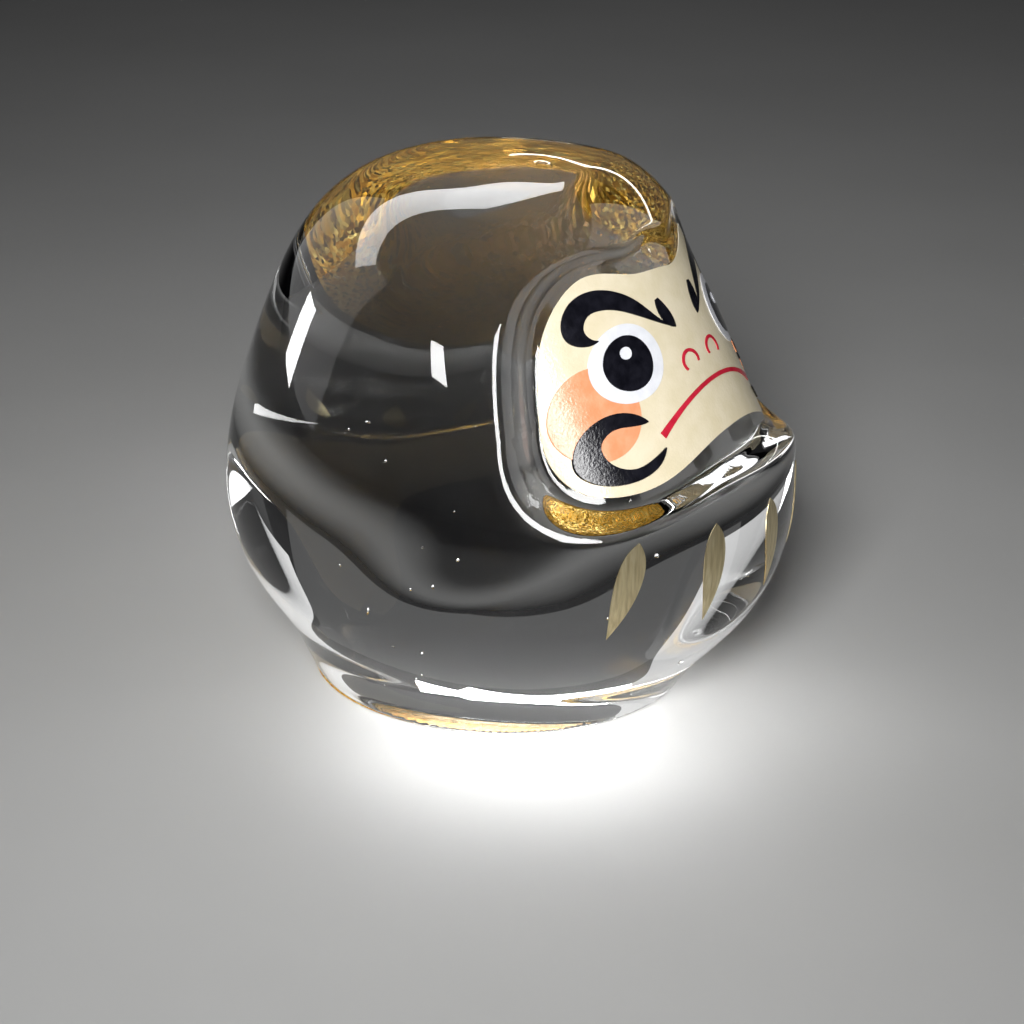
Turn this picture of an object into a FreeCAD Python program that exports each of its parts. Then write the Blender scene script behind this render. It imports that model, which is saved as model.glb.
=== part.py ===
import FreeCAD, Part
import math
import os

# Daruma doll: a small ornament cast in clear glass. All sizes are in millimetres.
# +Z is up, the doll faces -Y, and the origin is the centre of the flat base.
# "right" is the doll's own right hand, on the -X side.

# Driving sizes
BODY_RADIUS = 27.8          # widest half-width of the round body
BODY_HEIGHT = 51.6          # base to crown, before the body leans
BODY_LEAN = 4.4             # degrees the crown leans forward over the base
BASE_RADIUS = 18.4          # flat foot
BASE_BEVEL = 0.3            # polished edge round the foot
LEAF = 0.2                  # gold leaf and its lacquer under the foot
PAINT = 0.08                # one coat of enamel or gold lacquer

FACE_TILT = 29.4            # degrees the face leans back from upright
FACE_RADIUS = 24.0          # curve of the recess floor from cheek to cheek
FACE_HEIGHT = 36.0          # height of the face centre above the base
FACE_Y = -21.2              # front-to-back position of the face centre
FACE_HALF_WIDTH = 18.55     # painted area, seen square to the face
SIDE_LIP = 0.6              # bare glass between the paint and the walls beside it
BROW_LIP = 2.4              # bare glass above the paint, and below it
WALL_DRAFT = 36.0           # degrees the recess wall opens outwards
RIM_ROUND = 1.8             # melted edge where the recess meets the body
HOOD_RADIUS = 30.0          # flatter curve that trims the hood above the face
HOOD_TILT = 40.0            # degrees that trimmed front leans back
HOOD_STEP = 0.3             # how far the trimmed hood stands in front of the forehead
HOOD_ROUND = 3.0            # melted edge round the trimmed hood

STRIPE_LENGTH = 9.8
STRIPE_WIDTH = 2.7
STRIPE_MIDDLE = 18.4        # height of the middle of each belly stroke
STRIPE_STEP = 19.3          # degrees between the belly strokes
CENTRE_SLANT = 10.0         # degrees each stroke leans over as the brush left it
INNER_SLANT = 2.0
OUTER_SLANT = 15.0

# Worked out from the driving sizes
WAIST = 0.42 * BODY_HEIGHT  # height of the widest section, and the centre of the lean
REACH = 2.0 * BODY_HEIGHT   # longer than anything on the doll
UP = FreeCAD.Vector(0, 0, 1)
TILT = math.radians(FACE_TILT)
FACE_CENTRE = FreeCAD.Vector(0, FACE_Y, FACE_HEIGHT)
FACE_NORMAL = FreeCAD.Vector(0, -math.cos(TILT), math.sin(TILT))
FACE_UP = FreeCAD.Vector(0, math.sin(TILT), math.cos(TILT))

# The right half of the painted face, as (across, up) on the face plane. The top edge dips at
# the centre between two lobes, and the bottom edge rises there.
FACE_HALF = [(0.0, 8.7), (5.1, 9.5), (10.8, 11.25), (15.1, 8.7), (17.6, 3.1),
             (FACE_HALF_WIDTH, -2.3), (17.1, -6.7), (12.8, -8.7), (6.0, -7.9), (0.0, -7.35)]
FACE_MIDDLE = 1.25          # halfway between the lobes' tops and the chin
FACE_HALF_HEIGHT = 9.95

# Each brush stroke is a run of (across, up, width) along its middle line, on the right half.
EYEBROW = [(-11.6, 5.5, 0.1), (-12.6, 5.9, 0.9), (-13.25, 6.8, 1.65), (-12.95, 8.1, 2.0),
           (-11.9, 8.9, 2.05), (-10.2, 8.85, 1.9), (-8.4, 8.05, 1.7), (-6.5, 6.6, 1.35),
           (-4.6, 4.75, 0.5), (-2.45, 3.3, 0.1)]
EYEBROW_BARB = [(-3.5, 6.45, 0.5), (-3.4, 5.6, 1.25), (-3.1, 4.6, 1.5), (-2.45, 3.3, 0.1)]
WHISKER = [(-10.5, -3.1, 0.1), (-12.2, -2.1, 1.25), (-14.1, -1.65, 1.5), (-15.8, -2.5, 1.9),
           (-16.3, -4.1, 2.2), (-15.4, -5.85, 1.75), (-13.6, -6.9, 1.15), (-11.6, -6.85, 0.9),
           (-9.9, -6.0, 0.1)]
NOSTRIL = [(-3.4, -0.8, 0.3), (-3.6, 0.05, 0.34), (-2.95, 0.72, 0.34), (-1.9, 0.72, 0.34),
           (-1.2, 0.1, 0.34), (-1.25, -0.55, 0.3)]
MOUTH_HALF = 9.6            # half the width of the frown
MOUTH_TOP = -2.62
MOUTH_RADIUS = 21.2

EYE = (-9.8, 2.44)
EYE_WHITE = (3.9, 3.6)      # half-width and half-height of the white
PUPIL_RADIUS = 2.55
GLINT = (-9.8, 3.4)
GLINT_RADIUS = 0.58
CHEEK = (-14.2, -0.5)
CHEEK_SIZE = (3.75, 4.3)


def face_point(across, up, out=0.0):
    """A point given on the face plane, out millimetres in front of it."""
    return FACE_CENTRE + FreeCAD.Vector(across, 0, 0) + FACE_UP * up + FACE_NORMAL * out


def smooth_edge(points, closed=False):
    curve = Part.BSplineCurve()
    curve.interpolate(Points=points, PeriodicFlag=closed)
    return curve.toShape()


def lean_forward(shape):
    """Tip a shape of revolution forward, then bring its cut base back over the origin."""
    shape.rotate(FreeCAD.Vector(0, 0, WAIST), FreeCAD.Vector(1, 0, 0), BODY_LEAN)
    shape.translate(FreeCAD.Vector(0, -WAIST * math.tan(math.radians(BODY_LEAN)), 0))
    return shape


def round_body():
    """The whole rounded body before the recess, running on below its base."""
    tail = 5.0
    levels = [(0.36, 0.985), (0.60, 0.945), (0.73, 0.888), (0.855, 0.763), (0.955, 0.575),
              (1.0, 0.37), (0.967, 0.273), (0.887, 0.186), (0.776, 0.109)]
    outline = [(0.0, BODY_HEIGHT)]
    outline += [(BODY_RADIUS * across, BODY_HEIGHT * up) for across, up in levels]
    outline += [(BASE_RADIUS, LEAF), (BASE_RADIUS - 0.75 * tail, -tail)]
    points = [FreeCAD.Vector(across, 0, up) for across, up in outline]
    curve = Part.BSplineCurve()
    level = FreeCAD.Vector(1, 0, 0)
    foot = (points[-1] - points[-2]).normalize()
    curve.interpolate(Points=points, InitialTangent=level, FinalTangent=foot)
    bottom = FreeCAD.Vector(0, 0, -tail)
    edges = [curve.toShape(), Part.makeLine(points[-1], bottom), Part.makeLine(bottom, points[0])]
    section = Part.Face(Part.Wire(edges))
    return lean_forward(section.revolve(FreeCAD.Vector(0, 0, 0), UP, 360))


def face_outline(out, grow_across=0.0, grow_up=0.0):
    """The face outline as a closed wire, out in front of the face plane and grown about its
    middle."""
    wide = 1.0 + grow_across / FACE_HALF_WIDTH
    high = 1.0 + grow_up / FACE_HALF_HEIGHT
    half = [(across * wide, FACE_MIDDLE + (up - FACE_MIDDLE) * high) for across, up in FACE_HALF]
    ring = half + [(-across, up) for across, up in reversed(half[1:-1])]
    points = [face_point(across, up, out) for across, up in ring]
    return Part.Wire([smooth_edge(points, closed=True)])


def floor_cylinder(radius):
    """The upright cylinder whose front is the recess floor, tilted back with the face."""
    start = face_point(0, -REACH, -FACE_RADIUS)
    return Part.makeCylinder(radius, 2 * REACH, start, FACE_UP)


def hood_cylinder():
    """The upright cylinder whose front trims the hood just in front of the forehead."""
    tilt = math.radians(HOOD_TILT)
    along = FreeCAD.Vector(0, math.sin(tilt), math.cos(tilt))
    behind = FreeCAD.Vector(0, math.cos(tilt), -math.sin(tilt))
    forehead = face_point(0, FACE_HALF[2][1], HOOD_STEP)
    start = forehead + behind * HOOD_RADIUS - along * REACH
    return Part.makeCylinder(HOOD_RADIUS, 2 * REACH, start, along)


def face_recess():
    """The tool that sinks the face: an outward-drafted plug in front of the curved floor."""
    slope = math.tan(math.radians(WALL_DRAFT))
    cheek_depth = FACE_RADIUS - math.sqrt(FACE_RADIUS ** 2 - FACE_HALF_WIDTH ** 2)
    lobe_depth = FACE_RADIUS - math.sqrt(FACE_RADIUS ** 2 - (0.6 * FACE_HALF_WIDTH) ** 2)
    rings = []
    for out in (-0.45 * FACE_RADIUS, 0.45 * FACE_RADIUS):
        grow_across = SIDE_LIP + slope * (out + cheek_depth)
        grow_up = BROW_LIP + slope * (out + lobe_depth)
        rings.append(face_outline(out, grow_across, grow_up))
    plug = Part.makeLoft(rings, True, True)
    return plug.cut(floor_cylinder(FACE_RADIUS))


def glass_body():
    body = round_body()
    below = Part.makeBox(REACH, REACH, REACH, FreeCAD.Vector(-REACH / 2, -REACH / 2, LEAF - REACH))
    body = body.cut(below)
    foot = [edge for edge in body.Edges if edge.BoundBox.ZMax < LEAF + 1e-3]
    body = body.makeChamfer(BASE_BEVEL, foot)
    body = body.common(hood_cylinder())
    body = body.makeFillet(HOOD_ROUND, rim_edges(body))
    body = body.cut(face_recess())
    return body.makeFillet(RIM_ROUND, rim_edges(body))


def rim_edges(body):
    """The edges at the front of the body, except those that lie on the recess floor."""
    edges = []
    for edge in body.Edges:
        box = edge.BoundBox
        if box.ZMin > 0.4 * BODY_HEIGHT and box.YMax < 0 and not on_floor(edge):
            edges.append(edge)
    return edges


def on_floor(edge):
    axis_point = face_point(0, 0, -FACE_RADIUS)
    first, last = edge.ParameterRange
    for part in (0.2, 0.5, 0.8):
        across = edge.valueAt(first + (last - first) * part) - axis_point
        radius = (across - FACE_UP * across.dot(FACE_UP)).Length
        if abs(radius - FACE_RADIUS) > 1e-3:
            return False
    return True


def gold_leaf():
    """The leafed underside of the foot, just inside the bevel."""
    return Part.makeCylinder(BASE_RADIUS - 2 * BASE_BEVEL, LEAF)


def face_prism(wire):
    """A prism square to the face, deep enough to pass through every part of the floor."""
    low = wire.copy()
    low.translate(FACE_NORMAL * -FACE_RADIUS)
    return Part.Face(low).extrude(FACE_NORMAL * (2 * FACE_RADIUS))


def coat(prism, level, coats=1):
    """Paint on the recess floor; level 0 lies on the glass."""
    inner = FACE_RADIUS + level * PAINT
    shell = floor_cylinder(inner + coats * PAINT).cut(floor_cylinder(inner))
    return shell.common(prism)


def ellipse(middle, half_width, half_height):
    """An ellipse on the face plane with its long side across or up."""
    centre = face_point(middle[0], middle[1])
    across = FreeCAD.Vector(half_width, 0, 0)
    up = FACE_UP * half_height
    if half_width >= half_height:
        curve = Part.Ellipse(centre + across, centre + up, centre)
    else:
        curve = Part.Ellipse(centre + up, centre + across, centre)
    return Part.Wire([curve.toShape()])


def disc(middle, radius):
    circle = Part.Circle(face_point(middle[0], middle[1]), FACE_NORMAL, radius)
    return Part.Wire([circle.toShape()])


def brush_stroke(marks):
    """The outline of a stroke from marks of (across, up, width) along its middle line."""
    middle = [FreeCAD.Vector(across, up, 0) for across, up, width in marks]
    left = []
    right = []
    for index, (across, up, width) in enumerate(marks):
        ahead = middle[min(index + 1, len(marks) - 1)]
        behind = middle[max(index - 1, 0)]
        along = (ahead - behind).normalize()
        side = FreeCAD.Vector(-along.y, along.x, 0) * (width / 2)
        left.append(face_point(across + side.x, up + side.y))
        right.append(face_point(across - side.x, up - side.y))
    right.reverse()
    edges = [smooth_edge(left), Part.makeLine(left[-1], right[0]),
             smooth_edge(right), Part.makeLine(right[-1], left[0])]
    return Part.Wire(edges)


def frown():
    """The mouth: a stroke along an arc, thickest at its two ends."""
    steps = 8
    marks = []
    for step in range(steps + 1):
        along = 2.0 * step / steps - 1.0
        across = MOUTH_HALF * along
        drop = MOUTH_RADIUS - math.sqrt(MOUTH_RADIUS ** 2 - across ** 2)
        marks.append((across, MOUTH_TOP - drop, 0.42 + 0.3 * along ** 4))
    return brush_stroke(marks)


def mirrored(shape):
    return shape.mirror(FreeCAD.Vector(0, 0, 0), FreeCAD.Vector(1, 0, 0))


def right_side_paint():
    """Every painted mark on the right half of the face, lowest coats first."""
    white = face_prism(ellipse(EYE, *EYE_WHITE))
    cheek = face_prism(ellipse(CHEEK, *CHEEK_SIZE))
    brow = face_prism(brush_stroke(EYEBROW)).fuse(face_prism(brush_stroke(EYEBROW_BARB)))
    cheek_coat = coat(cheek.cut(white), 1)
    whisker = coat(face_prism(brush_stroke(WHISKER)), 1, coats=2)
    return {
        "cheek": cheek_coat,
        "eye_white": coat(white.cut(brow), 1),
        "eyebrow": coat(brow, 1).removeSplitter(),
        "whisker": whisker.cut(cheek_coat),
        "nostril": coat(face_prism(brush_stroke(NOSTRIL)), 1),
        "pupil": coat(face_prism(disc(EYE, PUPIL_RADIUS)), 2),
        "pupil_glint": coat(face_prism(disc(GLINT, GLINT_RADIUS)), 3),
    }


def belly_stripe(glass, turn, slant):
    """A leaf-shaped stroke of gold lacquer on the belly, turn degrees round from the front and
    leaning over by slant degrees."""
    half = STRIPE_WIDTH / 2
    side = [(0.0, 0.5), (0.8 * half, 0.34), (half, 0.12), (0.62 * half, -0.22), (0.0, -0.5)]
    left = [FreeCAD.Vector(across, -REACH / 2, STRIPE_LENGTH * up) for across, up in side]
    right = [FreeCAD.Vector(-point.x, point.y, point.z) for point in reversed(left)]
    outline = Part.Wire([smooth_edge(left), smooth_edge(right)])
    prism = Part.Face(outline).extrude(FreeCAD.Vector(0, REACH / 2 - BASE_RADIUS / 2, 0))
    prism.rotate(FreeCAD.Vector(0, 0, 0), FreeCAD.Vector(0, 1, 0), slant)
    prism.translate(FreeCAD.Vector(0, 0, STRIPE_MIDDLE))
    prism.rotate(FreeCAD.Vector(0, 0, 0), UP, turn)
    patch = glass.Shells[0].common(prism)
    return patch.makeOffsetShape(PAINT, 1e-4, fill=True)


def save(name, shape):
    solids = shape.Solids
    if len(solids) != 1:
        raise ValueError(name + " has " + str(len(solids)) + " solids")
    solids[0].exportStep("parts/" + name + ".step")
    print(name, round(solids[0].Volume, 3), solids[0].isValid())


def build():
    os.makedirs("parts", exist_ok=True)
    glass = glass_body()
    save("glass_body", glass)
    save("base_gold_leaf", gold_leaf())
    save("face_ground", coat(face_prism(face_outline(0.0)), 0))
    save("mouth", coat(face_prism(frown()), 1))
    for name, shape in right_side_paint().items():
        save(name + "_right", shape)
        save(name + "_left", mirrored(shape))
    save("belly_stripe_centre", belly_stripe(glass, 0, -CENTRE_SLANT))
    for place, steps, slant in (("inner", 1, INNER_SLANT), ("outer", 2, OUTER_SLANT)):
        stripe = belly_stripe(glass, -STRIPE_STEP * steps, slant)
        save("belly_stripe_" + place + "_right", stripe)
        save("belly_stripe_" + place + "_left", mirrored(stripe))


build()
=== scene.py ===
import math
import random

import bpy
import numpy as np
from mathutils import Matrix, Vector


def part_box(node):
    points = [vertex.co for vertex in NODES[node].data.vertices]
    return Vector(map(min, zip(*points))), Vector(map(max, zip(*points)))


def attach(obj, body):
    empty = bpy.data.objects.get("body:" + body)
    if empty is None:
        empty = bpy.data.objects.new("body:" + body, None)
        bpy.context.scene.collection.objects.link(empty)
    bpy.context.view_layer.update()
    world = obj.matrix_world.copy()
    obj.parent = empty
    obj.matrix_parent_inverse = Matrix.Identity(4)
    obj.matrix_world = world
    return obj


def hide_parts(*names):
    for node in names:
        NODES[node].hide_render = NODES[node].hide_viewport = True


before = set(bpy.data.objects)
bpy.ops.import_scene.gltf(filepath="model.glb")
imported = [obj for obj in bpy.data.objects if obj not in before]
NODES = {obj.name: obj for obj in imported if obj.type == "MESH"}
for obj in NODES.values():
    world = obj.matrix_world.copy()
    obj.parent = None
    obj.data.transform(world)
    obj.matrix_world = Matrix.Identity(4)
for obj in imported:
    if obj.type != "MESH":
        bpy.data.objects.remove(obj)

# A clear cast-glass daruma doll. Sizes are in metres; +Z is up and the doll faces -Y.
# The casting's own profile and the face outline are read off the frame, so the smooth glass
# made here meets the coats of paint. The rim of its recess is softer and wider than the CAD
# body's, by up to 2.6 mm.

MM = 0.001

# The body leans forward by this much, and its axis passes through the centre of its foot.
LEAN = math.radians(4.4)
BODY_HEIGHT = 51.6 * MM
WAIST = 0.42 * BODY_HEIGHT      # height of the body's widest section
LEAF_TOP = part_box("base_gold_leaf")[1].z

# How closely the casting's profile and the face outline are followed.
PROFILE_TERMS = 14
PROFILE_MARGIN = 0.5 * MM       # the profile is read from this far above the leaf
BEHIND = 0.2                    # and only from points this share of their radius behind the axis
OUTLINE_WAVES = 8
OUTLINE_SECTORS = 90

# The face sits on the front of an upright cylinder that leans back.
FACE_TILT = math.radians(29.4)
FACE_RADIUS = 24.0 * MM
FACE_CENTRE = np.array([0.0, -21.2, 36.0]) * MM
FACE_UP = np.array([0.0, math.sin(FACE_TILT), math.cos(FACE_TILT)])
FACE_OUT = np.array([0.0, -math.cos(FACE_TILT), math.sin(FACE_TILT)])
FACE_MIDDLE = 1.25 * MM         # centre of the painted outline, up the cylinder
CONTACT = 0.03 * MM             # the glass reaches this far into the paint, so no gap shows

# The hood above the face is trimmed by a flatter cylinder.
HOOD_TILT = math.radians(40.0)
HOOD_RADIUS = 30.0 * MM
HOOD_STEP = 0.3 * MM
HOOD_HEIGHT = 11.25 * MM

SIDE_LIP = 0.6 * MM             # bare glass between the paint and the wall beside it
BROW_LIP = 2.4 * MM             # and above and below it
WALL_SLOPE = math.tan(math.radians(36.0))
SPOKE_TO_GAP = 0.93             # a gap along a spoke is a little wider than square to the outline

# How far each crease in the glass is melted.
RIM_MELT = 1.7 * MM
CORNER_MELT = 0.9 * MM
HOOD_MELT = 3.0 * MM
FOOT_MELT = 0.5 * MM

# The mesh of the casting: rays from a point inside it, finest round the face.
RAY_START = np.array([0.0, 3.0, 23.0]) * MM
RINGS, SPOKES = 260, 420
CROWDING = 0.10                 # how much the rings crowd towards the face
NEAREST, FARTHEST = 4.0 * MM, 60.0 * MM     # the surface is looked for between these
HALVINGS = 26
SLOPE_STEP = 0.02 * MM          # the normals are read off the field over this distance

# Specks of air: how many, and where and how large they may be.
BUBBLES = 26
BUBBLE_SEED = 11
BUBBLE_REACH = (4.0 * MM, 17.0 * MM)
BUBBLE_HEIGHT = (5.0 * MM, 26.0 * MM)
BUBBLE_RADIUS = (0.06 * MM, 0.13 * MM)
BUBBLE_RINGS, BUBBLE_SPOKES = 6, 8

FLAKE_TILT = 0.8                # how unevenly the flakes of leaf lie, 0 for flat

LIGHT_TARGET = Vector((0.0, 0.0, 25.0)) * MM
CAMERA_PLACE = Vector((-241.8, -124.5, 124.0)) * MM
CAMERA_TARGET = Vector((35.5, 16.2, 0.0)) * MM
CAMERA_ROLL = math.radians(1.45)
CAMERA_LENS = 104.0

TABLE_RADIUS = 0.9
TABLE_CORNERS = 96


def smooth_max(a, b, melt):
    """The larger of two fields, with the crease between them rounded over melt."""
    near = np.maximum(melt - np.abs(a - b), 0.0) / melt
    return np.maximum(a, b) + near * near * melt / 4


def smooth_min(a, b, melt):
    """The smaller of two fields, rounded in the same way."""
    return -smooth_max(-a, -b, melt)


def node_points(name):
    """A CAD node's vertices as an array of points."""
    mesh = NODES[name].data
    points = np.empty(3 * len(mesh.vertices))
    mesh.vertices.foreach_get("co", points)
    return points.reshape(-1, 3)


class Casting:
    """The glass as a smooth field: negative inside, zero on the surface."""

    def __init__(self):
        self.shift = -WAIST * math.tan(LEAN)
        self.profile = self.fit_profile(node_points("glass_body"))
        self.outline = self.fit_outline(node_points("face_ground"))
        along = np.array([0.0, math.sin(HOOD_TILT), math.cos(HOOD_TILT)])
        behind = np.array([0.0, math.cos(HOOD_TILT), -math.sin(HOOD_TILT)])
        forehead = FACE_CENTRE + FACE_UP * HOOD_HEIGHT + FACE_OUT * HOOD_STEP
        self.hood_along = along
        self.hood_axis = forehead + behind * HOOD_RADIUS

    def upright(self, points):
        """Points in the body's own upright frame, about its widest section."""
        y = points[:, 1] - self.shift
        z = points[:, 2] - WAIST
        back = y * math.cos(LEAN) + z * math.sin(LEAN)
        up = -y * math.sin(LEAN) + z * math.cos(LEAN)
        return points[:, 0], back, up

    def fit_profile(self, points):
        """Radius against polar angle, from the back half of the casting, as a series."""
        x, back, up = self.upright(points)
        around = np.hypot(x, back)
        keep = (back > BEHIND * around) & (points[:, 2] > LEAF_TOP + PROFILE_MARGIN)
        polar = np.arctan2(around[keep], up[keep])
        radius = np.hypot(around[keep], up[keep])
        self.lowest = polar.max()
        return np.polynomial.Chebyshev.fit(polar, radius, PROFILE_TERMS)

    def fit_outline(self, points):
        """Reach of the painted face against direction, on its unrolled floor, as a series."""
        side, up, _ = self.unrolled(points)
        up = up - FACE_MIDDLE
        turn = np.arctan2(up, side)
        reach = np.hypot(side, up)
        sector = ((turn + math.pi) / (2 * math.pi) * OUTLINE_SECTORS).astype(int) % OUTLINE_SECTORS
        edge = []
        for number in np.unique(sector):
            members = np.flatnonzero(sector == number)
            edge.append(members[np.argmax(reach[members])])
        return np.linalg.lstsq(self.waves(turn[edge]), reach[edge], rcond=None)[0]

    @staticmethod
    def waves(turn):
        """The terms of the outline's series in each direction."""
        columns = [np.ones_like(turn)]
        for count in range(1, OUTLINE_WAVES + 1):
            columns += [np.cos(count * turn), np.sin(count * turn)]
        return np.stack(columns, axis=1)

    @staticmethod
    def unrolled(points):
        """Distance round the face's cylinder, distance up it, and height off it."""
        from_centre = points - FACE_CENTRE
        side = from_centre[:, 0]
        out = from_centre @ FACE_OUT + FACE_RADIUS
        up = from_centre @ FACE_UP
        angle = np.arctan2(side, out)
        return FACE_RADIUS * angle, up, np.hypot(side, out) - FACE_RADIUS

    def body(self, points):
        """Negative inside the round body, before the hood and the recess are cut."""
        x, back, up = self.upright(points)
        around = np.hypot(x, back)
        past_the_foot = self.lowest + 0.1
        polar = np.minimum(np.arctan2(around, up), past_the_foot)
        return np.hypot(around, up) - self.profile(polar)

    def hood(self, points):
        """Negative inside the cylinder that trims the hood."""
        from_axis = points - self.hood_axis
        along = from_axis @ self.hood_along
        return np.sqrt(np.maximum((from_axis ** 2).sum(1) - along ** 2, 0.0)) - HOOD_RADIUS

    def recess_mouth(self, points):
        """Negative inside the drafted wall round the face."""
        side, up, out = self.unrolled(points)
        up = up - FACE_MIDDLE
        turn = np.arctan2(up, side)
        reach = self.waves(turn) @ self.outline
        steep = np.abs(np.sin(turn))
        lip = SIDE_LIP + (BROW_LIP - SIDE_LIP) * steep
        gap = (np.hypot(side, up) - reach) * SPOKE_TO_GAP
        return gap - lip - WALL_SLOPE * np.maximum(out, 0.0)

    def field(self, points):
        """The whole casting: the body, less the hood's trim, the recess and what is below the foot."""
        _, _, out = self.unrolled(points)
        solid = smooth_max(self.body(points), self.hood(points), HOOD_MELT)
        floor = smooth_min(out - CONTACT, -self.recess_mouth(points), CORNER_MELT)
        solid = smooth_max(solid, floor, RIM_MELT)
        foot = LEAF_TOP - CONTACT - points[:, 2]
        return smooth_max(solid, foot, FOOT_MELT)

    def outward(self, points):
        """The surface's own normals, from the field's slope."""
        rises = []
        for step in SLOPE_STEP * np.eye(3):
            rises.append(self.field(points + step) - self.field(points - step))
        slopes = np.stack(rises, axis=1)
        return slopes / np.linalg.norm(slopes, axis=1)[:, None]

    def surface(self, directions, start):
        """Where rays from a point inside the glass leave it."""
        near = np.full(len(directions), NEAREST)
        far = np.full(len(directions), FARTHEST)
        for _ in range(HALVINGS):
            middle = (near + far) / 2
            inside = self.field(start + directions * middle[:, None]) < 0
            near = np.where(inside, middle, near)
            far = np.where(inside, far, middle)
        return start + directions * near[:, None]


def mesh_object(name, points, faces, smooth=True):
    """A new object in the scene, from its points and faces."""
    mesh = bpy.data.meshes.new(name)
    mesh.from_pydata([tuple(point) for point in points], [], faces)
    mesh.polygons.foreach_set("use_smooth", [smooth] * len(mesh.polygons))
    mesh.update()
    made = bpy.data.objects.new(name, mesh)
    bpy.context.scene.collection.objects.link(made)
    return made


def polar_grid(rings, spokes):
    """Directions round +Z: a pole, rings of spokes, and the far pole, with their faces."""
    points = [(0.0, 0.0, 1.0)]
    for ring in range(1, rings):
        share = ring / rings
        polar = math.pi * (share - CROWDING * math.sin(math.pi * share))
        flat = math.sin(polar)
        for spoke in range(spokes):
            turn = 2 * math.pi * spoke / spokes
            points.append((flat * math.cos(turn), flat * math.sin(turn), math.cos(polar)))
    points.append((0.0, 0.0, -1.0))
    last = len(points) - 1
    faces = []
    for spoke in range(spokes):
        after = (spoke + 1) % spokes
        faces.append((0, 1 + spoke, 1 + after))
        for ring in range(rings - 2):
            low = 1 + ring * spokes
            faces.append((low + spoke, low + spokes + spoke, low + spokes + after, low + after))
        low = 1 + (rings - 2) * spokes
        faces.append((low + spoke, last, low + after))
    return np.array(points), faces


def bubbles(count):
    """Specks of air in the casting: small balls, with the faces turned to the air inside."""
    source = random.Random(BUBBLE_SEED)
    ball_points, ball_faces = polar_grid(BUBBLE_RINGS, BUBBLE_SPOKES)
    points, normals, faces = [], [], []
    for _ in range(count):
        turn = source.uniform(0.0, 2 * math.pi)
        reach = source.uniform(*BUBBLE_REACH)
        height = source.uniform(*BUBBLE_HEIGHT)
        middle = np.array([reach * math.cos(turn), reach * math.sin(turn), height])
        size = source.uniform(*BUBBLE_RADIUS)
        faces += [[corner + len(points) for corner in reversed(face)] for face in ball_faces]
        points += list(middle + ball_points * size)
        normals += list(-ball_points)
    return points, normals, faces


def glass(casting):
    """The smooth casting: rays from inside it, on a grid that is finest round the face."""
    towards = Vector(FACE_CENTRE - RAY_START).normalized()
    turn = towards.to_track_quat("Z", "X").to_matrix()
    directions, faces = polar_grid(RINGS, SPOKES)
    points = casting.surface(directions @ np.array(turn).T, RAY_START)
    air_points, air_normals, air_faces = bubbles(BUBBLES)
    faces += [[corner + len(points) for corner in face] for face in air_faces]
    made = mesh_object("clear_glass_body", list(points) + air_points, faces)
    made.data.normals_split_custom_set_from_vertices(list(casting.outward(points)) + air_normals)
    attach(made, "root")
    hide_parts("glass_body")
    return made


# Materials ---------------------------------------------------------------------------------


class Nodes:
    """A material being wired up, with the few helpers the recipes below share."""

    def __init__(self, name):
        self.material = bpy.data.materials.new(name)
        self.material.use_nodes = True
        self.tree = self.material.node_tree
        self.shader = self.tree.nodes["Principled BSDF"]
        coordinates = self.add("ShaderNodeTexCoord")
        self.place = coordinates.outputs["Object"]

    def add(self, kind, **values):
        """A node of one kind, with values for its sockets or its settings."""
        node = self.tree.nodes.new(kind)
        for key, value in values.items():
            if key in node.inputs:
                node.inputs[key].default_value = value
            else:
                setattr(node, key, value)
        return node

    def link(self, output, target):
        self.tree.links.new(output, target)

    def scaled(self, size):
        """Object coordinates stretched by a three-part scale."""
        mapping = self.add("ShaderNodeMapping")
        mapping.inputs["Scale"].default_value = size
        self.link(self.place, mapping.inputs["Vector"])
        return mapping.outputs["Vector"]

    def noise(self, cells_per_mm, detail=3.0, vector=None):
        """A noise texture's grey value."""
        node = self.add("ShaderNodeTexNoise", Scale=cells_per_mm / MM, Detail=detail)
        self.link(vector or self.place, node.inputs["Vector"])
        return node.outputs["Fac"]

    def ramp(self, fac, stops):
        """A colour for each value, from a list of positions and colours."""
        node = self.add("ShaderNodeValToRGB")
        elements = node.color_ramp.elements
        while len(elements) < len(stops):
            elements.new(0.5)
        for element, (position, colour) in zip(elements, stops):
            element.position = position
            element.color = (*colour, 1.0)
        self.link(fac, node.inputs["Fac"])
        return node.outputs["Color"]

    def span(self, fac, low, high):
        """A value stretched over a range."""
        node = self.add("ShaderNodeMapRange")
        node.inputs["To Min"].default_value = low
        node.inputs["To Max"].default_value = high
        self.link(fac, node.inputs["Value"])
        return node.outputs["Result"]

    def bump(self, height, strength, distance):
        """Relief on the surface, this deep at full strength."""
        node = self.add("ShaderNodeBump", Strength=strength, Distance=distance)
        self.link(height, node.inputs["Height"])
        self.link(node.outputs["Normal"], self.shader.inputs["Normal"])

    def set(self, **values):
        """Constants on the shader's own sockets."""
        for key, value in values.items():
            self.shader.inputs[key.replace("_", " ")].default_value = value


def clear_glass():
    """Polished clear glass, with the faintest unevenness of a casting."""
    nodes = Nodes("clear_glass")
    nodes.set(Roughness=0.0, IOR=1.52, Transmission_Weight=1.0)
    tints = [(0.3, (0.985, 0.992, 0.99)), (0.7, (1.0, 1.0, 1.0))]
    tone = nodes.ramp(nodes.noise(0.02, 2.0), tints)
    nodes.link(tone, nodes.shader.inputs["Base Color"])
    nodes.bump(nodes.noise(0.12, 1.0), 0.06, 0.2 * MM)
    return nodes.material


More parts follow.
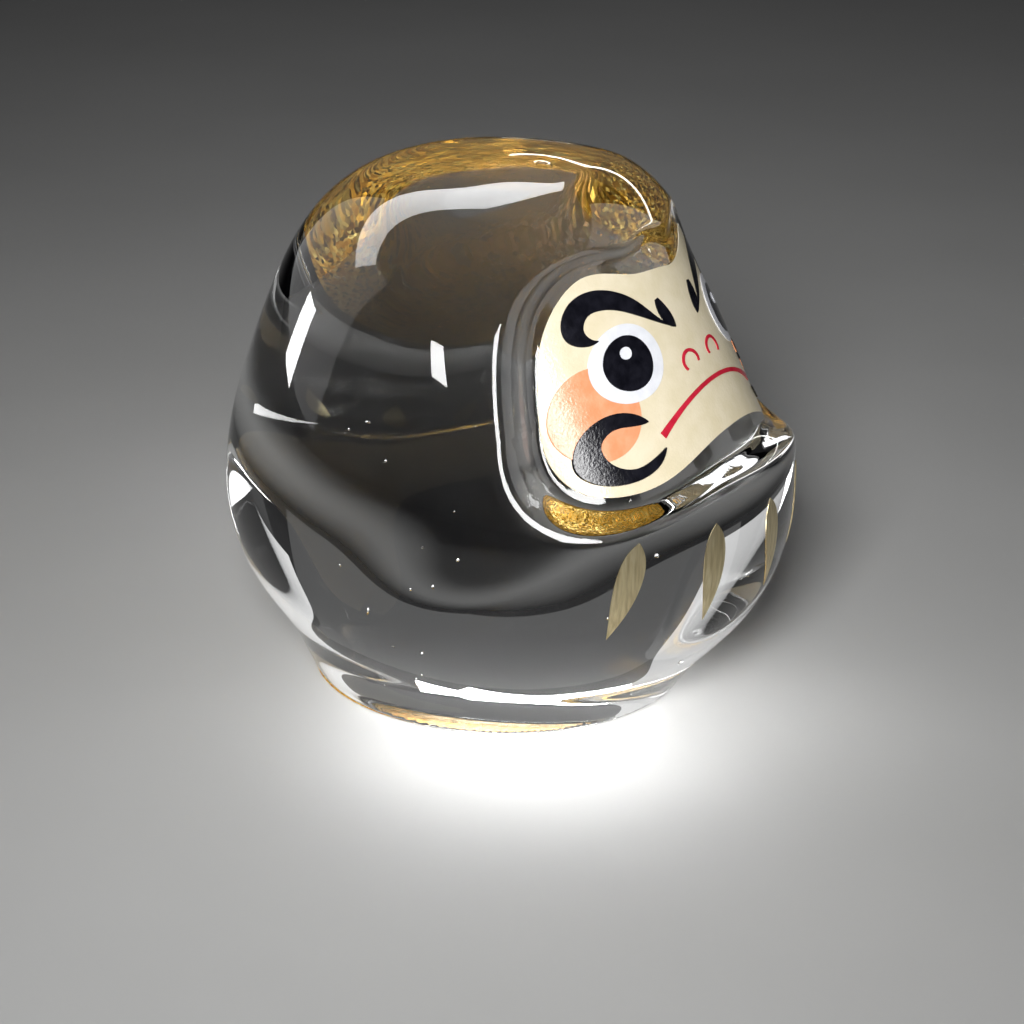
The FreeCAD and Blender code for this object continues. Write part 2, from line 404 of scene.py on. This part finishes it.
def enamel(name, dark, light, grain=0.9, roughness=(0.10, 0.22), bump=0.6):
    """Glossy brushed enamel: a slightly uneven colour and an orange-peel skin."""
    nodes = Nodes(name)
    mottle = nodes.noise(grain, 4.0)
    nodes.link(nodes.ramp(mottle, [(0.35, dark), (0.65, light)]), nodes.shader.inputs["Base Color"])
    nodes.link(nodes.span(nodes.noise(2.5 * grain), *roughness), nodes.shader.inputs["Roughness"])
    nodes.set(IOR=1.5)
    nodes.bump(nodes.noise(3.6, 5.0), bump, 0.04 * MM)
    return nodes.material


def gold_lacquer():
    """Champagne gold brushed downwards, with metal flakes in it."""
    nodes = Nodes("gold_lacquer")
    streaks = nodes.noise(3.0, 6.0, nodes.scaled((1.0, 1.0, 0.1)))
    tones = [(0.3, (0.58, 0.47, 0.26)), (0.55, (0.80, 0.68, 0.41)), (0.75, (0.93, 0.83, 0.58))]
    nodes.link(nodes.ramp(streaks, tones), nodes.shader.inputs["Base Color"])
    nodes.link(nodes.span(nodes.noise(6.0), 0.25, 0.45), nodes.shader.inputs["Roughness"])
    nodes.set(Metallic=1.0)
    nodes.bump(streaks, 0.25, 0.05 * MM)
    return nodes.material


def gold_leaf():
    """Scattered leaf: each small flake has its own tilt and tone."""
    nodes = Nodes("gold_leaf")
    warp = nodes.add("ShaderNodeTexNoise", Scale=1.1 / MM, Detail=3.0)
    nodes.link(nodes.place, warp.inputs["Vector"])
    mixed = nodes.add("ShaderNodeVectorMath", operation="MULTIPLY_ADD")
    nodes.link(warp.outputs["Color"], mixed.inputs[0])
    mixed.inputs[1].default_value = (0.5 * MM, 0.5 * MM, 0.5 * MM)
    nodes.link(nodes.place, mixed.inputs[2])
    flakes = nodes.add("ShaderNodeTexVoronoi", Scale=3.4 / MM)
    nodes.link(mixed.outputs["Vector"], flakes.inputs["Vector"])
    separate = nodes.add("ShaderNodeSeparateColor")
    nodes.link(flakes.outputs["Color"], separate.inputs["Color"])
    tones = [(0.0, (0.70, 0.30, 0.02)), (0.5, (1.0, 0.55, 0.06)), (1.0, (1.0, 0.78, 0.24))]
    nodes.link(nodes.ramp(separate.outputs["Red"], tones), nodes.shader.inputs["Base Color"])
    nodes.link(nodes.span(separate.outputs["Green"], 0.2, 0.5), nodes.shader.inputs["Roughness"])
    nodes.set(Metallic=1.0)
    tilt = nodes.add("ShaderNodeVectorMath", operation="MULTIPLY_ADD")
    nodes.link(flakes.outputs["Color"], tilt.inputs[0])
    tilt.inputs[1].default_value = (FLAKE_TILT, FLAKE_TILT, 0.0)
    tilt.inputs[2].default_value = (-FLAKE_TILT / 2, -FLAKE_TILT / 2, 0.0)
    geometry = nodes.add("ShaderNodeNewGeometry")
    leaning = nodes.add("ShaderNodeVectorMath", operation="ADD")
    nodes.link(geometry.outputs["Normal"], leaning.inputs[0])
    nodes.link(tilt.outputs["Vector"], leaning.inputs[1])
    unit = nodes.add("ShaderNodeVectorMath", operation="NORMALIZE")
    nodes.link(leaning.outputs["Vector"], unit.inputs[0])
    nodes.link(unit.outputs["Vector"], nodes.shader.inputs["Normal"])
    return nodes.material


def repaint(node_name, material):
    """Gives a CAD node its finish."""
    node = NODES[node_name]
    node.data.materials.clear()
    node.data.materials.append(material)


def paint_everything():
    """Every CAD node's finish, apart from the glass."""
    black = enamel("black_enamel", (0.003, 0.003, 0.005), (0.008, 0.008, 0.012))
    white = enamel("white_enamel", (0.60, 0.61, 0.65), (0.66, 0.67, 0.70))
    red = enamel("red_enamel", (0.40, 0.012, 0.03), (0.52, 0.02, 0.045))
    finishes = {
        "base_gold_leaf": gold_leaf(),
        "face_ground": enamel("cream_enamel", (0.60, 0.53, 0.37), (0.65, 0.58, 0.43), grain=0.5),
        "mouth": red,
    }
    peach = enamel("peach_enamel", (0.62, 0.25, 0.12), (0.68, 0.31, 0.17))
    for side in ("right", "left"):
        finishes["cheek_" + side] = peach
        finishes["eye_white_" + side] = white
        finishes["pupil_" + side] = black
        finishes["pupil_glint_" + side] = white
        finishes["eyebrow_" + side] = black
        finishes["whisker_" + side] = black
        finishes["nostril_" + side] = red
    lacquer = gold_lacquer()
    for name in NODES:
        if name.startswith("belly_stripe"):
            finishes[name] = lacquer
    for name, material in finishes.items():
        repaint(name, material)


# Studio ------------------------------------------------------------------------------------


def floor():
    """A plain pale table top, far wider than the view."""
    ring = []
    for corner in range(TABLE_CORNERS):
        turn = 2 * math.pi * corner / TABLE_CORNERS
        ring.append((TABLE_RADIUS * math.cos(turn), TABLE_RADIUS * math.sin(turn), 0.0))
    made = mesh_object("floor", ring, [tuple(range(TABLE_CORNERS))], smooth=False)
    nodes = Nodes("pale_floor")
    tones = [(0.3, (0.62, 0.62, 0.61)), (0.7, (0.66, 0.66, 0.65))]
    nodes.link(nodes.ramp(nodes.noise(0.02), tones), nodes.shader.inputs["Base Color"])
    nodes.set(Roughness=0.85)
    made.data.materials.append(nodes.material)
    return made


def lit_group(name, members, state):
    """A group of objects that a light falls on, or leaves out."""
    group = bpy.data.collections.new(name)
    for member in members:
        group.objects.link(member)
    for entry in group.collection_objects:
        entry.light_linking.link_state = state
    return group


def soft_light(name, direction, distance, size, power, group=None,
               spread=180.0, mirrored=True, refracted=True):
    """A soft light that faces the doll, falls on one group or on everything, and may show in the glass."""
    data = bpy.data.lights.new(name, "AREA")
    data.shape = "RECTANGLE"
    data.size, data.size_y = size
    data.energy = power
    data.spread = math.radians(spread)
    made = bpy.data.objects.new(name, data)
    bpy.context.scene.collection.objects.link(made)
    towards = Vector(direction).normalized()
    made.location = LIGHT_TARGET + towards * distance
    made.rotation_mode = "QUATERNION"
    made.rotation_quaternion = towards.to_track_quat("Z", "Y")
    made.visible_camera = False
    made.visible_glossy = mirrored
    made.visible_transmission = refracted
    if group:
        made.light_linking.receiver_collection = group


def room():
    """A dim even room."""
    world = bpy.data.worlds.new("room")
    world.use_nodes = True
    world.node_tree.nodes["Background"].inputs["Color"].default_value = (0.007, 0.007, 0.008, 1.0)
    bpy.context.scene.world = world


def compass(azimuth, elevation):
    """A direction from its angle round from +X and its angle above the floor."""
    azimuth, elevation = math.radians(azimuth), math.radians(elevation)
    flat = math.cos(elevation)
    return flat * math.cos(azimuth), flat * math.sin(azimuth), math.sin(elevation)


def studio(glass_piece):
    """A key for everything, two softboxes for all but the table, the rest for the glass and leaf."""
    table = floor()
    room()
    paint = lit_group("all_but_table", [table], "EXCLUDE")
    clear = lit_group("glass_and_leaf", [glass_piece, NODES["base_gold_leaf"]], "INCLUDE")
    soft_light("key_pool", compass(200, 28), 0.36, (0.10, 0.10), 0.16,
               spread=60.0, mirrored=False, refracted=False)
    soft_light("small_softbox", compass(187, 24), 0.55, (0.07, 0.085), 0.4, paint, refracted=False)
    soft_light("front_softbox", compass(235, 25), 0.6, (0.12, 0.24), 2.0, paint)
    soft_light("top_softbox", compass(30, 52), 0.5, (0.35, 0.30), 3.8, clear, mirrored=False)
    soft_light("back_strip", compass(62, 45), 0.55, (0.8, 0.12), 1.6, clear)
    soft_light("thin_strip", compass(-2, 20), 0.6, (0.6, 0.012), 0.2, clear, refracted=False)
    soft_light("left_window", compass(95, 5), 0.6, (0.10, 0.10), 0.5, clear)
    soft_light("left_softbox", compass(90, 22), 0.65, (0.8, 0.5), 0.8, clear)
    soft_light("right_softbox", compass(-34, 28), 0.6, (0.42, 0.38), 0.5, clear)
    soft_light("face_side_softbox", compass(-85, 20), 0.6, (0.35, 0.3), 0.6, clear)
    wall_powers = {27: 0.22, 117: 0.20, 207: 0.12, 297: 0.16}
    for azimuth, power in wall_powers.items():
        soft_light("grey_wall_%d" % azimuth, compass(azimuth, 15), 1.0, (1.7, 0.55), power, clear)


def camera():
    """The camera stands to the doll's right, a little above it."""
    data = bpy.data.cameras.new("camera")
    data.lens = CAMERA_LENS
    data.sensor_width = 36.0
    data.clip_start = 0.01
    made = bpy.data.objects.new("camera", data)
    bpy.context.scene.collection.objects.link(made)
    back = (CAMERA_PLACE - CAMERA_TARGET).normalized()
    made.location = CAMERA_PLACE
    made.rotation_mode = "QUATERNION"
    level = back.to_track_quat("Z", "Y")
    roll = Matrix.Rotation(CAMERA_ROLL, 4, back).to_quaternion()
    made.rotation_quaternion = roll @ level
    bpy.context.scene.camera = made


def main():
    """Makes the picture."""
    bpy.context.scene.view_settings.view_transform = "Standard"
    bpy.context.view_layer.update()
    casting = Casting()
    made = glass(casting)
    made.data.materials.append(clear_glass())
    paint_everything()
    studio(made)
    camera()


main()
